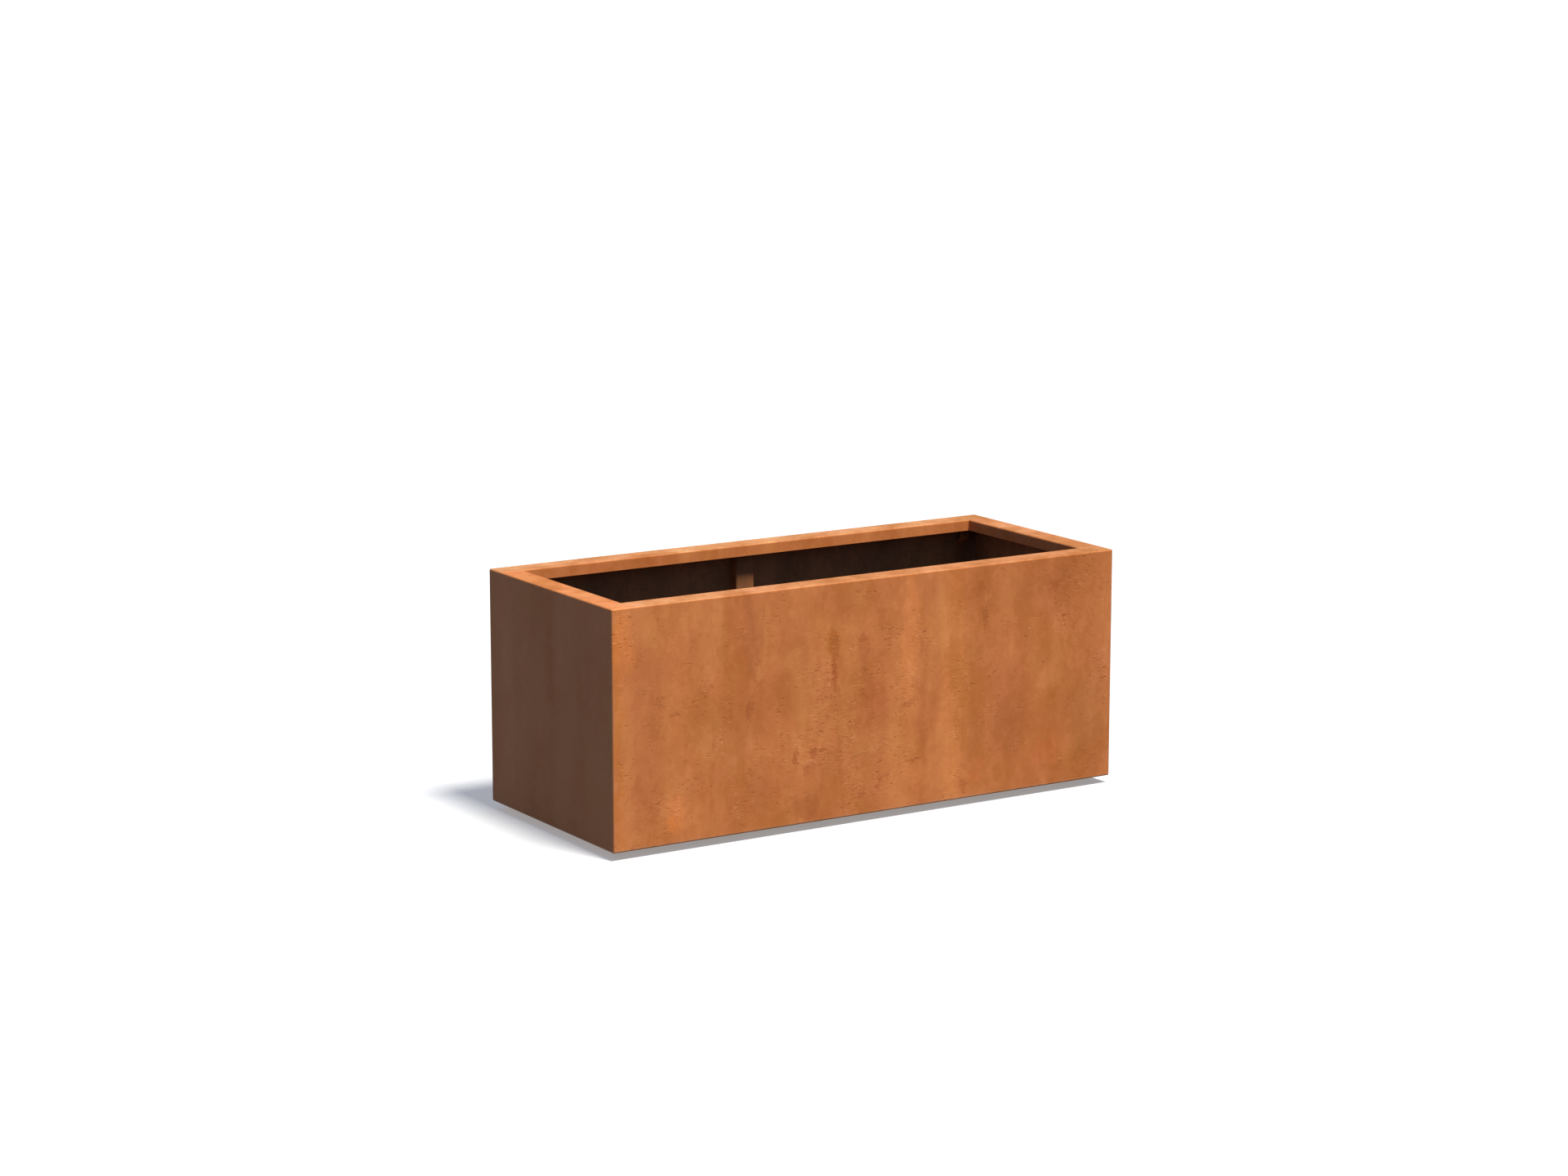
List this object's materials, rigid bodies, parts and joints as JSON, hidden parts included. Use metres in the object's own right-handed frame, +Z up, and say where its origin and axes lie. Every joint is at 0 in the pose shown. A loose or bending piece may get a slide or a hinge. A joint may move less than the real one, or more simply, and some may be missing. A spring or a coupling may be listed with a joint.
{
  "type": "planter box",
  "caption": "Rectangular trough planter of folded weathering steel with a flat mitred rim, open top, inner lifting straps, a cross tie and levelling feet.",
  "frame": {"origin": "on the ground under the centre of the box", "axes": "+X along the length, +Y from the front wall to the back wall, +Z up"},
  "size_m": [1.2, 0.5, 0.5],
  "materials": {
    "weathering_steel": "rusted, matt, streaked",
    "weld_metal": "rusted, matt, rippled",
    "stainless_fasteners": "satin",
    "black_polyamide": "moulded, fine grain"
  },
  "bodies": {
    "planter": {"front_panel": "weathering_steel", "back_panel": "weathering_steel", "left_end_panel": "weathering_steel", "right_end_panel": "weathering_steel", "floor_plate": "weathering_steel", "left_floor_bearer": "weathering_steel", "middle_floor_bearer": "weathering_steel", "right_floor_bearer": "weathering_steel", "front_wall_stiffener": "weathering_steel", "back_wall_stiffener": "weathering_steel", "cross_tie": "weathering_steel", "tie_bolts": "stainless_fasteners", "tie_washers": "stainless_fasteners", "tie_weld_nuts": "stainless_fasteners", "corner_welds": "weld_metal", "floor_stitch_welds": "weld_metal", "foot_weld_nuts": "stainless_fasteners", "lifting_strap_front_left": "weathering_steel", "lifting_strap_front_right": "weathering_steel", "lifting_strap_back_left": "weathering_steel", "lifting_strap_back_right": "weathering_steel"},
    "pad_front_left": {"foot_pad_front_left": "black_polyamide"},
    "stud_front_left": {"foot_stud_front_left": "stainless_fasteners"},
    "pad_front_right": {"foot_pad_front_right": "black_polyamide"},
    "stud_front_right": {"foot_stud_front_right": "stainless_fasteners"},
    "pad_back_left": {"foot_pad_back_left": "black_polyamide"},
    "stud_back_left": {"foot_stud_back_left": "stainless_fasteners"},
    "pad_back_right": {"foot_pad_back_right": "black_polyamide"},
    "stud_back_right": {"foot_stud_back_right": "stainless_fasteners"}
  },
  "joints": [
    {"name": "foot_lift_front_left", "type": "slide", "parent": "planter", "child": "pad_front_left", "axis": [0, 0, -1], "range_m": [-0.003, 0.015]},
    {"name": "foot_turn_front_left", "type": "hinge", "parent": "pad_front_left", "child": "stud_front_left", "pos_m": [-0.44, -0.15, 0.0125], "axis": [0, 0, -1], "range_deg": [-720, 3600]},
    {"name": "foot_lift_front_right", "type": "slide", "parent": "planter", "child": "pad_front_right", "axis": [0, 0, -1], "range_m": [-0.003, 0.015]},
    {"name": "foot_turn_front_right", "type": "hinge", "parent": "pad_front_right", "child": "stud_front_right", "pos_m": [0.44, -0.15, 0.0125], "axis": [0, 0, -1], "range_deg": [-720, 3600]},
    {"name": "foot_lift_back_left", "type": "slide", "parent": "planter", "child": "pad_back_left", "axis": [0, 0, -1], "range_m": [-0.003, 0.015]},
    {"name": "foot_turn_back_left", "type": "hinge", "parent": "pad_back_left", "child": "stud_back_left", "pos_m": [-0.44, 0.15, 0.0125], "axis": [0, 0, -1], "range_deg": [-720, 3600]},
    {"name": "foot_lift_back_right", "type": "slide", "parent": "planter", "child": "pad_back_right", "axis": [0, 0, -1], "range_m": [-0.003, 0.015]},
    {"name": "foot_turn_back_right", "type": "hinge", "parent": "pad_back_right", "child": "stud_back_right", "pos_m": [0.44, 0.15, 0.0125], "axis": [0, 0, -1], "range_deg": [-720, 3600]}
  ],
  "couplings": [
    {"joint": "foot_turn_front_left", "follows": "foot_lift_front_left", "rad_per_m": 4188.8},
    {"joint": "foot_turn_front_right", "follows": "foot_lift_front_right", "rad_per_m": 4188.8},
    {"joint": "foot_turn_back_left", "follows": "foot_lift_back_left", "rad_per_m": 4188.8},
    {"joint": "foot_turn_back_right", "follows": "foot_lift_back_right", "rad_per_m": 4188.8}
  ]
}
